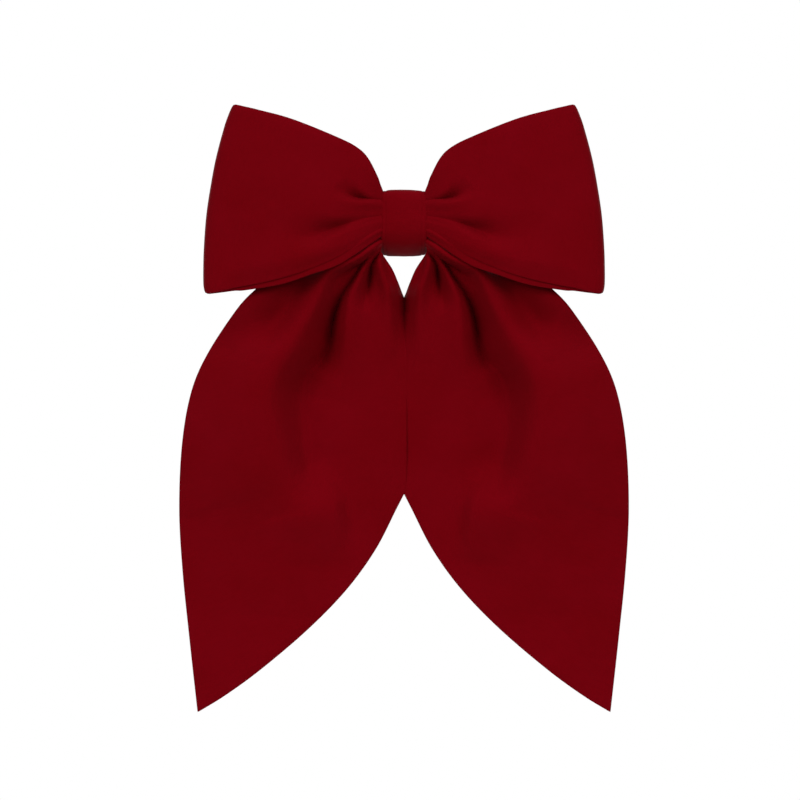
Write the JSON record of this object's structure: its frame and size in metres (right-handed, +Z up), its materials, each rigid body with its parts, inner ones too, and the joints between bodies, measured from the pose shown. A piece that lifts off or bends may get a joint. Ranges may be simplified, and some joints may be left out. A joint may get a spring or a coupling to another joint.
{
  "type": "hair bow",
  "caption": "Large cloth hair bow with two pinched loops, two long pointed tails and a wrapped knot on a sprung metal hair clip.",
  "frame": {"origin": "middle of the space where the clip grips the hair, behind the knot", "axes": "+Z up as worn, -Y is the bow's front, +Y points at the head, +X to the right as seen from the front"},
  "size_m": [0.2, 0.0468, 0.2702],
  "materials": {
    "bow_cloth": "soft matte satin-backed crepe, deep red",
    "thread": "polyester sewing thread, deep red",
    "clip_steel": "nickel-plated pressed steel",
    "spring_steel": "bright spring steel strip",
    "pin_steel": "polished plated pin and rivet"
  },
  "bodies": {
    "root": {"loop_band": "bow_cloth", "tail_root": "bow_cloth", "knot_band": "bow_cloth", "loop_gather_thread": "thread", "tail_gather_thread": "thread", "knot_stitches": "thread", "plate_ties": "thread", "barrette_plate": "clip_steel", "hinge_pin": "pin_steel", "catch_base": "spring_steel", "catch_rivet": "pin_steel"},
    "tail_left": {"tail_left": "bow_cloth"},
    "tail_right": {"tail_right": "bow_cloth"},
    "clasp_arm": {"clasp_arm": "clip_steel"},
    "tension_bar": {"tension_bar": "spring_steel"},
    "prong_upper": {"catch_prong_upper": "spring_steel"},
    "prong_lower": {"catch_prong_lower": "spring_steel"}
  },
  "joints": [
    {"name": "arm_hinge", "type": "hinge", "parent": "root", "child": "clasp_arm", "pos_m": [-0.037, 0.0032, 0], "axis": [0, 0, 1], "range_deg": [0, 65]},
    {"name": "tension_bar_give", "type": "slide", "parent": "root", "child": "tension_bar", "axis": [0, -1, 0], "range_m": [0, 0.0015], "stiffness_N_per_m": 400},
    {"name": "prong_upper_squeeze", "type": "hinge", "parent": "root", "child": "prong_upper", "pos_m": [0.0372, 0.00032, 0.00145], "axis": [-1, 0, 0], "range_deg": [0, 6], "stiffness_Nm_per_rad": 0.01},
    {"name": "prong_lower_squeeze", "type": "hinge", "parent": "root", "child": "prong_lower", "pos_m": [0.0372, 0.00032, -0.00145], "axis": [1, 0, 0], "range_deg": [0, 6], "stiffness_Nm_per_rad": 0.01},
    {"name": "tail_left_swing", "type": "hinge", "parent": "root", "child": "tail_left", "pos_m": [-0.035, -0.0125, -0.036], "axis": [1, 0, 0], "range_deg": [-35, 12]},
    {"name": "tail_right_swing", "type": "hinge", "parent": "root", "child": "tail_right", "pos_m": [0.035, -0.0125, -0.036], "axis": [1, 0, 0], "range_deg": [-35, 12]}
  ],
  "couplings": [
    {"joint": "prong_lower_squeeze", "follows": "prong_upper_squeeze", "ratio": 1},
    {"joint": "tail_right_swing", "follows": "tail_left_swing", "ratio": 1}
  ]
}
